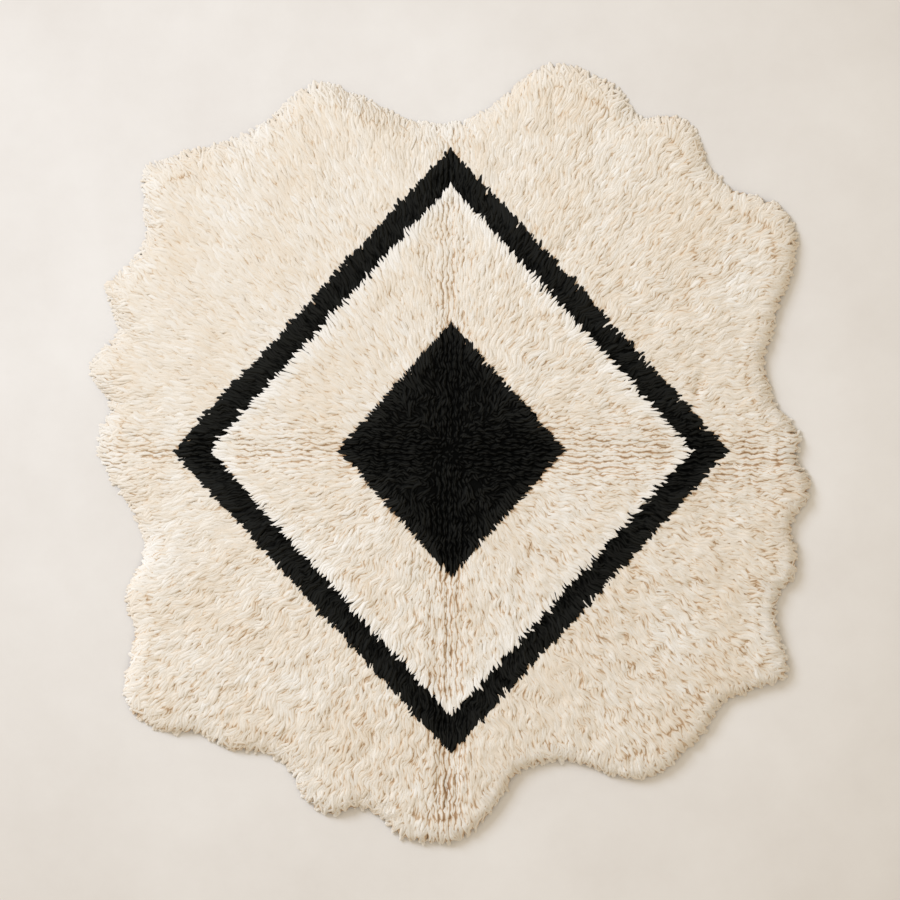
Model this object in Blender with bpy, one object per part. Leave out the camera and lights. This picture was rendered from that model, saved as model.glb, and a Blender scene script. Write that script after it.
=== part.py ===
"""A shag wool rug with a scalloped outline, lying flat on the floor. Metres, +Z up.

The rug is one knotted piece, so it is one solid: a lumpy slab as thick as its pile, with locks
of wool lying outwards at its rim. Its two folds show as bundles of soft furrows that cross in
the middle. The black lozenges are a second wool in the same pile, so they are faces of the same
slab with a second material. The origin is on the underside, where the two folds cross.
"""
import math
import random
from collections import namedtuple

import bmesh
import bpy
from mathutils import Matrix, Vector
from mathutils.geometry import delaunay_2d_cdt

# Pile
PILE_HEIGHT = 0.027      # top of the laid pile over the floor
RIM_HEIGHT = 0.020       # height of the slab's wall, where the rim's locks leave it
EDGE_ROLL = 0.050        # width over which the pile rounds down from full height to the rim
CLUMP_RISE = 0.0018      # broad clumps of pile stand this far above and below
CLUMP_RIM_SHARE = 0.3    # and this share of it at the rim
TUFT_RISE = 0.0024       # and single tufts this much more, unevenly
CLUMP_SIZE = 0.070       # half a wave of the clumps
CLUMP_STRETCH = 0.83     # the clumps' waves along Y are this much slower
CLUMP_BEND = (1.3, 1.7)  # their rows bend to and fro by this phase, along X and along Y
CLUMP_BEND_RATE = (0.31, 0.27)  # once in so much of a wave
POINT_SPACING = 0.038    # between the points of the pile's surface
POINT_LOOSENESS = 0.2    # of the spacing
POINT_GAP = 0.62         # of the spacing, kept free round each point
LEAST_SPACING = 0.009    # no two of them stand closer

# Rim
LOCK_COUNT = 270
LOCK_ROOT_SHARE = 0.76   # of its share of the rim, the rest is the gap to the next lock
LOCK_WIDTH_JITTER = 0.10
LOCK_REACH_JITTER = 0.005
LOCK_LEAST = 0.014       # shortest and longest lock
LOCK_MOST = 0.062
LOCK_STEP = 0.001        # step in which a lock's length is looked for
LOCK_WAIST = 0.66        # where a lock starts to taper, as a share of its length
LOCK_WAIST_WIDTH = 0.84  # its width and height there, as shares of those at the root
LOCK_WAIST_HEIGHT = 0.80
LOCK_TIP_HEIGHT = 0.009
LOCK_FAN = 0.30          # 0 points every lock away from the middle, 1 square to the rim
LOCK_SWAY = math.radians(9.0)
ROOT_SETBACK = 0.026     # the slab's wall stands this far inside the locks' tips
ROOT_SMOOTHING = 3.0     # degrees either side over which the wall rounds off the lobes
ROOT_SAMPLES = (-1.0, -0.6, -0.3, 0.0, 0.3, 0.6, 1.0)  # the mean is taken at these shares of it
WALL_STEPS = 1440        # steps along the wall while its length is measured
SHOULDER_RING = 0.022    # a ring of points this far inside the wall rounds the slab's shoulder

# The outline of the pile, anticlockwise from +X: each row is the tip of a lobe, the floor of a
# notch, or a shoulder between them. `flat` is how many degrees either side keep that reach, and
# `sharp` runs from 0, round, to 1, pointed, where the reach changes SHARP_SLOPE times as fast.
SHARP_SLOPE = 1.5
Turn = namedtuple("Turn", "bearing reach flat sharp")
OUTLINE = (
    Turn(1.8, 0.732, 0.0, 0.5),
    Turn(12.8, 0.676, 1.2, 0.0),
    Turn(22.6, 0.732, 0.3, 0.7),
    Turn(34.8, 0.864, 1.0, 0.1),
    Turn(45.6, 0.802, 1.0, 0.0),
    Turn(53.9, 0.859, 0.0, 0.8),
    Turn(57.3, 0.836, 0.0, 0.4),
    Turn(60.3, 0.799, 0.2, 0.4),
    Turn(70.3, 0.844, 4.2, 0.0),
    Turn(84.6, 0.709, 0.0, 0.4),
    Turn(91.4, 0.686, 2.0, 0.0),
    Turn(110.2, 0.828, 0.0, 0.7),
    Turn(121.5, 0.794, 2.0, 0.0),
    Turn(137.0, 0.871, 0.4, 0.6),
    Turn(147.5, 0.772, 1.2, 0.0),
    Turn(154.2, 0.802, 0.1, 0.7),
    Turn(160.2, 0.734, 0.2, 0.5),
    Turn(166.6, 0.772, 0.5, 0.1),
    Turn(173.0, 0.716, 0.5, 0.0),
    Turn(178.0, 0.738, 0.6, 0.1),
    Turn(195.0, 0.664, 1.8, 0.0),
    Turn(207.2, 0.750, 1.8, 0.2),
    Turn(219.4, 0.861, 1.0, 0.1),
    Turn(224.4, 0.838, 0.3, 0.2),
    Turn(227.4, 0.788, 0.2, 0.2),
    Turn(231.6, 0.780, 0.3, 0.2),
    Turn(240.0, 0.736, 1.6, 0.1),
    Turn(250.6, 0.799, 0.6, 0.1),
    Turn(257.0, 0.761, 0.5, 0.1),
    Turn(266.9, 0.815, 2.6, 0.1),
    Turn(286.3, 0.676, 2.0, 0.0),
    Turn(304.0, 0.804, 1.2, 0.1),
    Turn(311.6, 0.790, 1.6, 0.1),
    Turn(317.2, 0.776, 0.4, 0.2),
    Turn(326.2, 0.855, 0.0, 0.9),
    Turn(335.9, 0.743, 0.3, 0.3),
    Turn(341.2, 0.763, 0.6, 0.1),
    Turn(347.9, 0.728, 0.3, 0.3),
    Turn(353.8, 0.759, 0.2, 0.3),
    Turn(359.2, 0.724, 0.2, 0.3),
)

# Folds: each runs straight between two points, fades out at its ends, and is a shallow trough
# that holds soft parallel furrows. A single crease is a trough alone.
Fold = namedtuple("Fold", "name x0 y0 x1 y1 half_width depth furrow")
FOLDS = (
    Fold("north", 0.000, 0.000, 0.002, 0.700, 0.050, 0.0030, 0.0014),
    Fold("south", 0.000, 0.000, -0.006, -0.800, 0.050, 0.0036, 0.0018),
    Fold("west", 0.000, 0.000, -0.725, -0.006, 0.050, 0.0026, 0.0012),
    Fold("east", 0.000, 0.000, 0.735, -0.010, 0.050, 0.0034, 0.0016),
    Fold("crease", 0.527, 0.182, 0.508, 0.082, 0.012, 0.0060, 0.0),
)
FURROW_PITCH = 0.020
FOLD_FADE = 0.060        # length over which a fold deepens from its end
FOLD_STEP = 0.045        # between the rows of points along a fold
CREASE_FADE = 0.030
SWAY_WIDTH = 0.006       # the furrows sway sideways this far
SWAY_LENGTH = 0.090      # once in this length

# Lozenges in black wool, as half of each diagonal: the border band, and the one in the middle.
Lozenge = namedtuple("Lozenge", "half_width half_height")
BORDER_OUTER = Lozenge(0.581, 0.634)
BORDER_INNER = Lozenge(0.503, 0.553)
CENTRE = Lozenge(0.240, 0.264)
LOZENGE_STEP = 0.040     # between the points along a lozenge's sides

# Colours, linear, and how rough the wool is
IVORY = (0.72, 0.60, 0.45, 1.0)
BLACK = (0.006, 0.006, 0.005, 1.0)
WOOL_ROUGHNESS = 0.95

SEED = 11


def smoothstep(t):
    """Ease from 0 to 1 as t goes from 0 to 1."""
    t = min(max(t, 0.0), 1.0)
    return t * t * (3.0 - 2.0 * t)


def rounded(t):
    """Rise from 0 to 1 like a quarter of a circle as t goes from 0 to 1."""
    left = 1.0 - min(max(t, 0.0), 1.0)
    return math.sqrt(1.0 - left * left)


def ease_between(first, last, t):
    """Reach between two turns of the outline, with each one's own roundness."""
    change = last.reach - first.reach
    leave = SHARP_SLOPE * first.sharp * change
    arrive = SHARP_SLOPE * last.sharp * change
    rise = t * t * (3.0 - 2.0 * t)
    return (first.reach + rise * change
            + (t ** 3 - 2.0 * t ** 2 + t) * leave
            + (t ** 3 - t ** 2) * arrive)


def reach(bearing):
    """How far the pile reaches from the middle at a bearing in degrees."""
    for first, last in zip(OUTLINE, OUTLINE[1:] + OUTLINE[:1]):
        past = (bearing - first.bearing) % 360.0
        span = (last.bearing - first.bearing) % 360.0
        if past < span:
            t = (past - first.flat) / (span - first.flat - last.flat)
            return ease_between(first, last, min(max(t, 0.0), 1.0))
    return OUTLINE[0].reach


def wall_reach(bearing):
    """How far the slab's wall stands from the middle: the outline rounded off and set back."""
    near = [reach(bearing + share * ROOT_SMOOTHING) for share in ROOT_SAMPLES]
    return sum(near) / len(near) - ROOT_SETBACK


def bearing_of(point):
    """Bearing of a point in degrees from +X."""
    return math.degrees(math.atan2(point.y, point.x))


def wall_points():
    """Points along the slab's wall, anticlockwise, and the distance walked to each."""
    points = []
    for step in range(WALL_STEPS):
        angle = math.tau * step / WALL_STEPS
        ray = Vector((math.cos(angle), math.sin(angle)))
        points.append(ray * wall_reach(math.degrees(angle)))
    walked = [0.0]
    for here, after in zip(points, points[1:] + points[:1]):
        walked.append(walked[-1] + (after - here).length)
    return points, walked


def lock_roots(rng):
    """The two ends of each lock's root on the slab's wall, spaced evenly along it."""
    points, walked = wall_points()
    pitch = walked[-1] / LOCK_COUNT
    stations = []
    for index in range(LOCK_COUNT):
        share = LOCK_ROOT_SHARE + rng.uniform(-LOCK_WIDTH_JITTER, LOCK_WIDTH_JITTER)
        stations.append(index * pitch)
        stations.append((index + share) * pitch)
    found = []
    step = 0
    for station in stations:
        while walked[step + 1] < station:
            step += 1
        t = (station - walked[step]) / (walked[step + 1] - walked[step])
        found.append(points[step].lerp(points[(step + 1) % WALL_STEPS], t))
    return [(found[2 * index], found[2 * index + 1]) for index in range(LOCK_COUNT)]


def fold_place(fold, x, y):
    """A point's distance along a fold and to the side of it, and the fold's length."""
    line = Vector((fold.x1 - fold.x0, fold.y1 - fold.y0))
    offset = Vector((x - fold.x0, y - fold.y0))
    along = offset.dot(line.normalized())
    aside = line.normalized().cross(offset)
    return along, aside, line.length


def sway(along):
    """How far a fold's furrows sway to the side at a distance along it."""
    return SWAY_WIDTH * math.sin(math.tau * along / SWAY_LENGTH)


def fold_depth(fold, x, y):
    """How far a fold sinks the pile at a point."""
    along, aside, length = fold_place(fold, x, y)
    if abs(aside) >= fold.half_width or not 0.0 <= along <= length:
        return 0.0
    window = 0.5 + 0.5 * math.cos(math.pi * aside / fold.half_width)
    if not fold.furrow:
        ends = smoothstep(along / CREASE_FADE) * smoothstep((length - along) / CREASE_FADE)
        return fold.depth * window * ends
    ends = smoothstep((length - along) / FOLD_FADE)
    furrow = fold.furrow * math.cos(math.tau * (aside - sway(along)) / FURROW_PITCH)
    return (fold.depth + furrow) * window * ends


def clump(x, y):
    """Broad uneven clumps of pile, from -1 to 1."""
    phase_x = math.pi * x / CLUMP_SIZE
    phase_y = math.pi * y / CLUMP_SIZE
    across = phase_x + CLUMP_BEND[0] * math.sin(CLUMP_BEND_RATE[0] * phase_y)
    along = CLUMP_STRETCH * phase_y + CLUMP_BEND[1] * math.sin(CLUMP_BEND_RATE[1] * phase_x)
    return math.sin(across) * math.sin(along)


def pile_height(x, y):
    """Height of the pile's surface over the floor."""
    inward = wall_reach(math.degrees(math.atan2(y, x))) - math.hypot(x, y)
    crown = rounded(inward / EDGE_ROLL)
    height = RIM_HEIGHT + (PILE_HEIGHT - RIM_HEIGHT) * crown
    height += CLUMP_RISE * clump(x, y) * (CLUMP_RIM_SHARE + (1.0 - CLUMP_RIM_SHARE) * crown)
    return height - max(fold_depth(fold, x, y) for fold in FOLDS)


class Scatter:
    """Points of the pile's surface, none closer to another than LEAST_SPACING."""

    def __init__(self):
        self.points = []
        self.cells = {}

    def crowded(self, point, gap):
        """Whether a kept point stands within a gap of this one."""
        column, row = int(point.x // POINT_SPACING), int(point.y // POINT_SPACING)
        for near_column in (column - 1, column, column + 1):
            for near_row in (row - 1, row, row + 1):
                for kept in self.cells.get((near_column, near_row), ()):
                    if (kept - point).length < gap:
                        return True
        return False

    def add(self, point, gap=LEAST_SPACING):
        """Keep a point unless others crowd it, and return whether it was kept."""
        if self.crowded(point, gap):
            return False
        cell = (int(point.x // POINT_SPACING), int(point.y // POINT_SPACING))
        self.cells.setdefault(cell, []).append(point)
        self.points.append(point)
        return True


def inside_wall(point, margin):
    """Whether a point lies inside the slab's wall by a margin."""
    return point.length < wall_reach(bearing_of(point)) - margin


def lozenge_side_points(lozenge):
    """Points along a lozenge's four sides, anticlockwise from +X."""
    corners = (Vector((lozenge.half_width, 0.0)), Vector((0.0, lozenge.half_height)),
               Vector((-lozenge.half_width, 0.0)), Vector((0.0, -lozenge.half_height)))
    points = []
    for corner, after in zip(corners, corners[1:] + corners[:1]):
        count = round((after - corner).length / LOZENGE_STEP)
        points += [corner.lerp(after, step / count) for step in range(count)]
    return points


def fold_points(fold):
    """Rows of points across a fold, on the crests and floors of its swaying furrows."""
    line = Vector((fold.x1 - fold.x0, fold.y1 - fold.y0))
    side = Vector((-line.y, line.x)).normalized()
    pitch = FURROW_PITCH / 2 if fold.furrow else fold.half_width
    step = FOLD_STEP if fold.furrow else CREASE_FADE
    reach_aside = round(fold.half_width / pitch)
    for station in range(round(line.length / step) + 1):
        along = min(station * step, line.length)
        centre = Vector((fold.x0, fold.y0)) + line.normalized() * along
        shift = sway(along) if fold.furrow else 0.0
        for place in range(-reach_aside, reach_aside + 1):
            yield centre + side * (place * pitch + shift)


def grid_points(rng):
    """A loose triangular grid over the whole rug."""
    row_step = POINT_SPACING * math.sqrt(3.0) / 2.0
    rows = int(1.0 / row_step)
    columns = int(1.0 / POINT_SPACING)
    for row in range(-rows, rows + 1):
        for column in range(-columns, columns + 1):
            x = (column + 0.5 * (row % 2)) * POINT_SPACING
            loose = Vector((rng.uniform(-1.0, 1.0), rng.uniform(-1.0, 1.0))) * POINT_LOOSENESS
            yield Vector((x, row * row_step)) + loose * POINT_SPACING


def surface_layout(roots, rng):
    """The pile's surface seen from above: its points, its triangles, and the wall's points."""
    wall = [end for root in roots for end in root]
    scatter = Scatter()
    edges = []
    for point in wall:
        scatter.add(point, 0.0)
    for lozenge in (BORDER_OUTER, BORDER_INNER, CENTRE):
        first = len(scatter.points)
        side_points = lozenge_side_points(lozenge)
        for point in side_points:
            scatter.add(point, 0.0)
        ring = list(range(first, first + len(side_points)))
        edges += list(zip(ring, ring[1:] + ring[:1]))
    for start, end in roots:
        middle = (start + end) / 2
        scatter.add(middle - middle.normalized() * SHOULDER_RING)
    for fold in FOLDS:
        for point in fold_points(fold):
            if inside_wall(point, SHOULDER_RING):
                scatter.add(point)
    for point in grid_points(rng):
        if inside_wall(point, SHOULDER_RING):
            scatter.add(point, POINT_GAP * POINT_SPACING)
    outline = [list(range(len(wall)))]
    placed, _, triangles, point_sources, _, outline_sources = delaunay_2d_cdt(
        scatter.points, edges, outline, 1, 1e-6, True)
    triangles = [triangle for triangle, source in zip(triangles, outline_sources) if source]
    rim = [None] * len(wall)
    for index, sources in enumerate(point_sources):
        for source in sources:
            if source < len(wall):
                rim[source] = index
    return placed, triangles, rim


def in_lozenge(point, lozenge):
    """Whether a point lies inside a lozenge."""
    return abs(point.x) / lozenge.half_width + abs(point.y) / lozenge.half_height < 1.0


def is_black(point):
    """Whether the pile at a point is of the black wool."""
    band = in_lozenge(point, BORDER_OUTER) and not in_lozenge(point, BORDER_INNER)
    return band or in_lozenge(point, CENTRE)


def lock_direction(root):
    """Which way a lock lies: away from the middle, turned part of the way square to the rim."""
    start, end = root
    away = ((start + end) / 2).normalized()
    square = Vector((end.y - start.y, start.x - end.x)).normalized()
    return away.lerp(square, LOCK_FAN).normalized()


def lock_length(middle, direction, rng):
    """How long a lock is: it runs to the outline, a little unevenly."""
    length = LOCK_LEAST
    while length < LOCK_MOST:
        tip = middle + direction * length
        if tip.length >= reach(bearing_of(tip)):
            break
        length += LOCK_STEP
    return length + rng.uniform(-LOCK_REACH_JITTER, LOCK_REACH_JITTER)


def add_lock(bm, low, high, rng):
    """Grow one four-sided lock from the wall between two low and two high corners."""
    start, end = low[0].co.xy, low[1].co.xy
    middle = (start + end) / 2
    half = (end - start) / 2 * LOCK_WAIST_WIDTH
    turn = Matrix.Rotation(rng.uniform(-LOCK_SWAY, LOCK_SWAY), 2)
    direction = turn @ lock_direction((start, end))
    length = lock_length(middle, direction, rng)
    waist = middle + direction * length * LOCK_WAIST
    tip = middle + direction * length
    waist_low = [bm.verts.new((*(waist + side * half), 0.0)) for side in (-1, 1)]
    waist_high = [bm.verts.new((*(waist + side * half), top.co.z * LOCK_WAIST_HEIGHT))
                  for side, top in zip((-1, 1), high)]
    tip_low = bm.verts.new((*tip, 0.0))
    tip_high = bm.verts.new((*tip, LOCK_TIP_HEIGHT))
    bm.faces.new((low[1], low[0], waist_low[0], waist_low[1]))
    bm.faces.new((high[0], high[1], waist_high[1], waist_high[0]))
    bm.faces.new((low[0], high[0], waist_high[0], waist_low[0]))
    bm.faces.new((high[1], low[1], waist_low[1], waist_high[1]))
    bm.faces.new((waist_low[1], waist_low[0], tip_low))
    bm.faces.new((waist_high[0], waist_high[1], tip_high))
    bm.faces.new((waist_low[0], waist_high[0], tip_high, tip_low))
    bm.faces.new((waist_high[1], waist_low[1], tip_low, tip_high))


def wool(name, colour):
    """A plain material for one of the two wools."""
    material = bpy.data.materials.new(name)
    material.use_nodes = True
    shader = material.node_tree.nodes["Principled BSDF"]
    shader.inputs["Base Color"].default_value = colour
    shader.inputs["Roughness"].default_value = WOOL_ROUGHNESS
    shader.inputs["Metallic"].default_value = 0.0
    material.diffuse_color = colour
    return material


def build_rug():
    """The rug's one solid."""
    rng = random.Random(SEED)
    roots = lock_roots(rng)
    placed, triangles, rim = surface_layout(roots, rng)
    bm = bmesh.new()
    rim_set = set(rim)
    top = []
    for index, point in enumerate(placed):
        uneven = 0.0 if index in rim_set else rng.uniform(-TUFT_RISE, TUFT_RISE)
        top.append(bm.verts.new((point.x, point.y, pile_height(point.x, point.y) + uneven)))
    for triangle in triangles:
        face = bm.faces.new([top[corner] for corner in triangle])
        centre = sum((placed[corner] for corner in triangle), Vector((0.0, 0.0))) / 3
        face.material_index = 1 if is_black(centre) else 0
    high = [top[index] for index in rim]
    low = [bm.verts.new((vert.co.x, vert.co.y, 0.0)) for vert in high]
    bm.faces.new(low[::-1])
    for index in range(0, len(rim), 2):
        after = index + 1
        gap = (after + 1) % len(rim)
        add_lock(bm, (low[index], low[after]), (high[index], high[after]), rng)
        bm.faces.new((low[after], low[gap], high[gap], high[after]))
    bmesh.ops.recalc_face_normals(bm, faces=bm.faces)
    mesh = bpy.data.meshes.new("rug")
    bm.to_mesh(mesh)
    bm.free()
    mesh.materials.append(wool("ivory_wool", IVORY))
    mesh.materials.append(wool("black_wool", BLACK))
    mesh.shade_smooth()
    mesh.set_sharp_from_angle(angle=math.radians(40.0))
    rug = bpy.data.objects.new("rug", mesh)
    bpy.context.scene.collection.objects.link(rug)
    return rug


for old in list(bpy.data.objects):
    bpy.data.objects.remove(old)
build_rug()
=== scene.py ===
import math
from collections import namedtuple

import bpy
import numpy as np
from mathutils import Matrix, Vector
from mathutils.bvhtree import BVHTree


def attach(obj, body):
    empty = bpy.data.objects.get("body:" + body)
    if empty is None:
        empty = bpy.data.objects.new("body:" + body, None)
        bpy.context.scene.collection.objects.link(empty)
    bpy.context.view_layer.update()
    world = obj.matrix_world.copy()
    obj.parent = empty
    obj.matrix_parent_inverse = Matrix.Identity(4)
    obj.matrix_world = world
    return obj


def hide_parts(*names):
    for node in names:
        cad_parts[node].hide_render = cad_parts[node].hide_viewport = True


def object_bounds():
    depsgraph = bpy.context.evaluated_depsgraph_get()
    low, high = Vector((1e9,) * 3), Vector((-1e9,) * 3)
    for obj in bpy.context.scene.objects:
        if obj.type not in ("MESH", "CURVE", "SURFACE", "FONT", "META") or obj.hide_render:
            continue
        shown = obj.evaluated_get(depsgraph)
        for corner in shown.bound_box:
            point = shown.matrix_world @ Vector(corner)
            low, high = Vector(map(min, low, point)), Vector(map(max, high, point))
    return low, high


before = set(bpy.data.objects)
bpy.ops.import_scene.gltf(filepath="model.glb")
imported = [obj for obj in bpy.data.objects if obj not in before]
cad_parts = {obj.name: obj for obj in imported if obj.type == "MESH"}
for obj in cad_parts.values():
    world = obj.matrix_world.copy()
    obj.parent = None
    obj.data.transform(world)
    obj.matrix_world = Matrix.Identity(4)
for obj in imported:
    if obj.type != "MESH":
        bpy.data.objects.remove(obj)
CAD_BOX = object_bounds()

# A shag wool rug seen from straight above. Its pile is thousands of locks of wool, each a closed
# strand. They lie outwards, side by side, and are felted together: only at the rim and where the
# colour changes do their tips stand free. Metres, +Z up.

SEED = 21
TURN = 2.0 * math.pi  # all the way round

# The knots stand in rows, round in the middle of the rug and along its rim outside.
KNOT_PITCH = 0.0049  # between the knots of a row
ROW_PITCH = 0.0150
KNOT_JITTER = 0.22  # of KNOT_PITCH
ROW_JITTER = 0.35  # of ROW_PITCH
FIRST_ROW = 0.004  # from the middle
LEAST_KNOTS = 3  # in a row
ROW_STEPS = 1440  # steps round a row while its length is measured

# The last rows: how far each is from the rim, its pitch, and how deep it lies, of the pile's depth.
Row = namedtuple("Row", "inset pitch sunk")
RIM_ROWS = (
    Row(0.0385, 0.0054, 0.0),
    Row(0.0315, 0.0062, 0.0),
    Row(0.0245, 0.0074, 0.0),
    Row(0.0185, 0.0088, 0.0),
    Row(0.0130, 0.0100, 0.0),
    Row(0.0150, 0.0066, 0.26),
    Row(0.0115, 0.0066, 0.50),
)
UNDER_SHADE = 0.09  # this share of a lower lock's depth counts for its colour
UNDER_SPARE = 0.0040  # a lower lock ends this much further inside, by the share it is sunk

# Each knot holds one lock of wool.
LOCK_LENGTH = (0.038, 0.048)  # least and most
LOCK_WIDTH = (0.0070, 0.0100)
UNREST_WIDTH = (0.96, 1.22)  # times this, in calm and in restless pile
EDGE_WIDTH = 0.86  # the pointed locks are narrower
RIM_WIDTH = 0.90  # and so are those free at the rim
LOCK_THICKNESS = 0.50  # its height over its spine, of half its width
RIM_THICK = 0.6  # restless locks that stand free at the rim are thicker by this share
LOCK_MIDDLE = 0.56  # the knot lies under this place of its lock
LOCK_TURN = math.radians(8.5)
LOCK_BEND = 0.03  # of its length
BEND_REACH = 0.5  # of its length, how far from the knot it has bent by so much
RIM_LOOSENESS = 2.2  # at the rim they turn and bend by this much more
MIDDLE_LOOSENESS = 7.0  # and in the very middle of the rug
MIDDLE_WIDTH = 0.050
LAYER_RISE = 0.0006  # locks lie over and under each other by this much
ROLL = math.radians(10.0)  # a lock is turned about its own length by about this
FLOOR_GAP = 0.0004  # its spine lies over the floor by its own thickness and this
CUT_SHARE = 0.96  # while a lock reaches past the rim, it is cut to this share
CUT_ROUNDS = 18
LEAST_LENGTH = 0.60  # and one cut shorter than this share is left out

# A lock's tone, from 0, the palest, to 1.
TONE_MEAN = 0.34
TONE_JITTER = 0.10
TONE_PATCHES = (0.12, 0.08)  # it drifts by this much in broad patches and in small ones
PATCH_SIZES = (0.220, 0.045)
FOLD_PAINTED_LIGHT = 0.24  # locks are paler by this much in the folds: painted light that offsets the furrows' shade
TONE_POINTED = 0.30  # where they are pointed
MIDDLE_PAINTED_LIGHT = 0.10  # and where they are restless between the lozenges: painted light, as the lamp's light falls off less there
TONE_MOST = 0.999  # 1 would be past the last strip

# The form of a lock from root to tip: its width, and how far its ridge lies below the surface.
Ring = namedtuple("Ring", "place width drop")
ROOT_RINGS = (
    Ring(0.00, 0.00, 0.0046),
    Ring(0.13, 0.66, 0.0028),
    Ring(0.34, 0.95, 0.0007),
    Ring(0.56, 1.00, 0.0000),
)
FELTED_TIP = (
    Ring(0.77, 0.88, 0.0008),
    Ring(0.92, 0.50, 0.0026),
    Ring(1.00, 0.00, 0.0040),
)
POINTED_TIP = (
    Ring(0.77, 0.82, -0.0002),
    Ring(0.90, 0.48, -0.0003),
    Ring(1.00, 0.00, 0.0000),
)
ROUND_TIP = (
    Ring(0.79, 0.95, 0.0000),
    Ring(0.94, 0.66, 0.0003),
    Ring(1.00, 0.00, 0.0010),
)
BLUNT_TIP = (
    Ring(0.78, 0.92, -0.0002),
    Ring(0.93, 0.62, -0.0002),
    Ring(1.00, 0.00, 0.0002),
)
SHAPES = np.array([ROOT_RINGS + tip for tip in (FELTED_TIP, POINTED_TIP, ROUND_TIP, BLUNT_TIP)])
FELTED, POINTED, ROUND, BLUNT = range(4)
WIDTHS = np.array([1.0, EDGE_WIDTH, RIM_WIDTH, 1.0])
KNOT_RING = 3  # the ring over the knot

# The tips at the rim. They are gathered into tufts at the solid's own lock tips.
RIM_SHOWN = 0.016  # tips this near the rim stand free
RIM_STRAY = (-0.0026, 0.0028)  # how far inside it they end: the mean, just past it, and the stray
RIM_NOTCH = (0.0006, 0.0100)  # how deep the notches between the tufts are, calm and restless
NOTCH_OUTWARD = 0.6  # this share of their depth is what the tufts gain outwards
RIM_GATHER = (0.05, 0.34)  # the tips lean into the tufts by this share of the way, in the same way
RIM_GATHER_WIDTH = 0.030

# Which way the pile lies: out from the middle, partly square to the rim beside it, and stirred.
RIM_STEP = 0.5  # degrees between the bearings at which the rim is read
RIM_SMOOTHING = 9  # steps over which its direction is evened out
RIM_TURN = 0.55
RIM_TURN_WIDTH = 0.120
BROAD_STIR = 0.0075
BROAD_STIR_SIZE = 0.072
STIR_FADE = 0.070  # it fades out over this width inside the rim
FOLD_CALM = 0.8  # and by this share in the folds
FINE_STIR = 0.0029
FINE_STIR_SIZE = 0.024
FINE_LEFT = 0.4  # this share of it is left where the broad stirring fades out
FINE_UNREST = (0.60, 1.10)  # times this, in calm and in restless pile
UNSTIR_ROUNDS = 6

# The black pile in the middle is stirred more, its locks are smaller, and they lie more along the
# folds than outwards.
CENTRE_STIR = 0.9
CENTRE_STIR_WIDTH = 0.080
CENTRE_LENGTH = 0.66  # this share of the common length
CENTRE_WIDTH = 0.70  # and of the common width
CENTRE_COMB = 0.80

# The pile is calm at the upper left and restless opposite.
UNREST_WAY = math.radians(-53.0)
UNREST_FROM = -0.75  # the place on that way, from the middle, where it is calmest
UNREST_OVER = 1.4  # and the distance over which it turns restless
UNREST = (0.51, 1.10)  # how high, uneven and stirred the locks are, from calm to restless
LUMP_SIZE = 0.034
LUMP_RISE = 0.0010

# The pile rounds down to the rim: flatly over a wide band where it is calm, and like a quarter of
# an ellipse over a narrow one where it is restless.
PILE_HEIGHT = 0.027
RIM_HEIGHT = (0.0015, 0.004)  # at the very rim
RIM_ROUND = (0.085, 0.040)
RIM_POWER = (1.0, 0.5)  # 1 gives a parabola, 0.5 a quarter of an ellipse
RIM_BLEND = 0.080  # further inside, the pile is as high as the solid
RIM_SHADE = 0.0005  # restless pile has the colour of so much more depth at the very rim: painted shade on the rim that faces away from the lamp
RIM_SHADE_WIDTH = 0.020

# The folds: where the rug was folded, the pile lies in long wavy furrows beside the line. Each
# fold runs from the middle of the rug to x, y, and widens on its way.
Fold = namedtuple("Fold", "x y length half_width strength pitch")
FOLDS = (
    Fold(0.002, 0.700, 0.760, 0.036, 0.66, 0.0112),
    Fold(-0.006, -0.800, 0.800, 0.042, 0.80, 0.0112),
    Fold(-0.725, -0.006, 0.725, 0.046, 0.60, 0.0116),
    Fold(0.735, -0.010, 0.760, 0.066, 0.78, 0.0116),
)
FOLD_WIDTH = (0.80, 0.20)  # the share of its width that it starts with, and what it gains
FOLD_WIDENING = 0.25  # over this length
FOLD_FALL = 1.2  # how steeply it fades to its sides
FOLD_START = (0.02, 0.06)  # it starts this far back across the middle, and rises over this length
FOLD_END = (0.10, 0.6)  # it fades over this length, and this share of that is past its end
FOLD_GRIP = 1.3  # times its strength, how firmly it gathers the locks, 1 at most
FURROW_FADE = (0.74, 0.66)  # the mean share of that which is left, and how far it drifts
FURROW_FADE_SIZE = 0.058
FURROW_WANDER = 3.0  # the furrows' waves are out of step by up to this phase
FURROW_WANDER_SIZE = 0.110
FURROW_HOLD = 0.22  # of the pitch, how far from its ridge's middle a lock lies at most
FURROW_SWAY = 0.0027
FURROW_SWAY_LENGTH = 0.046
FURROW_NARROW = 0.10  # the locks of a ridge are narrower by this share
FURROW_THICK = 0.26  # and thicker by this
FURROW_DEPTH = 0.0015  # the outer locks of a ridge lie this much lower
FURROW_COMB = 0.85  # 1 would comb them all along the fold
FURROW_EVEN = 0.80  # and they rise and roll less unevenly by this share
FOLD_SINK = 0.0009
FOLD_SHADE = 0.90  # this much of a furrow's depth doesn't count for its colour

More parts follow.
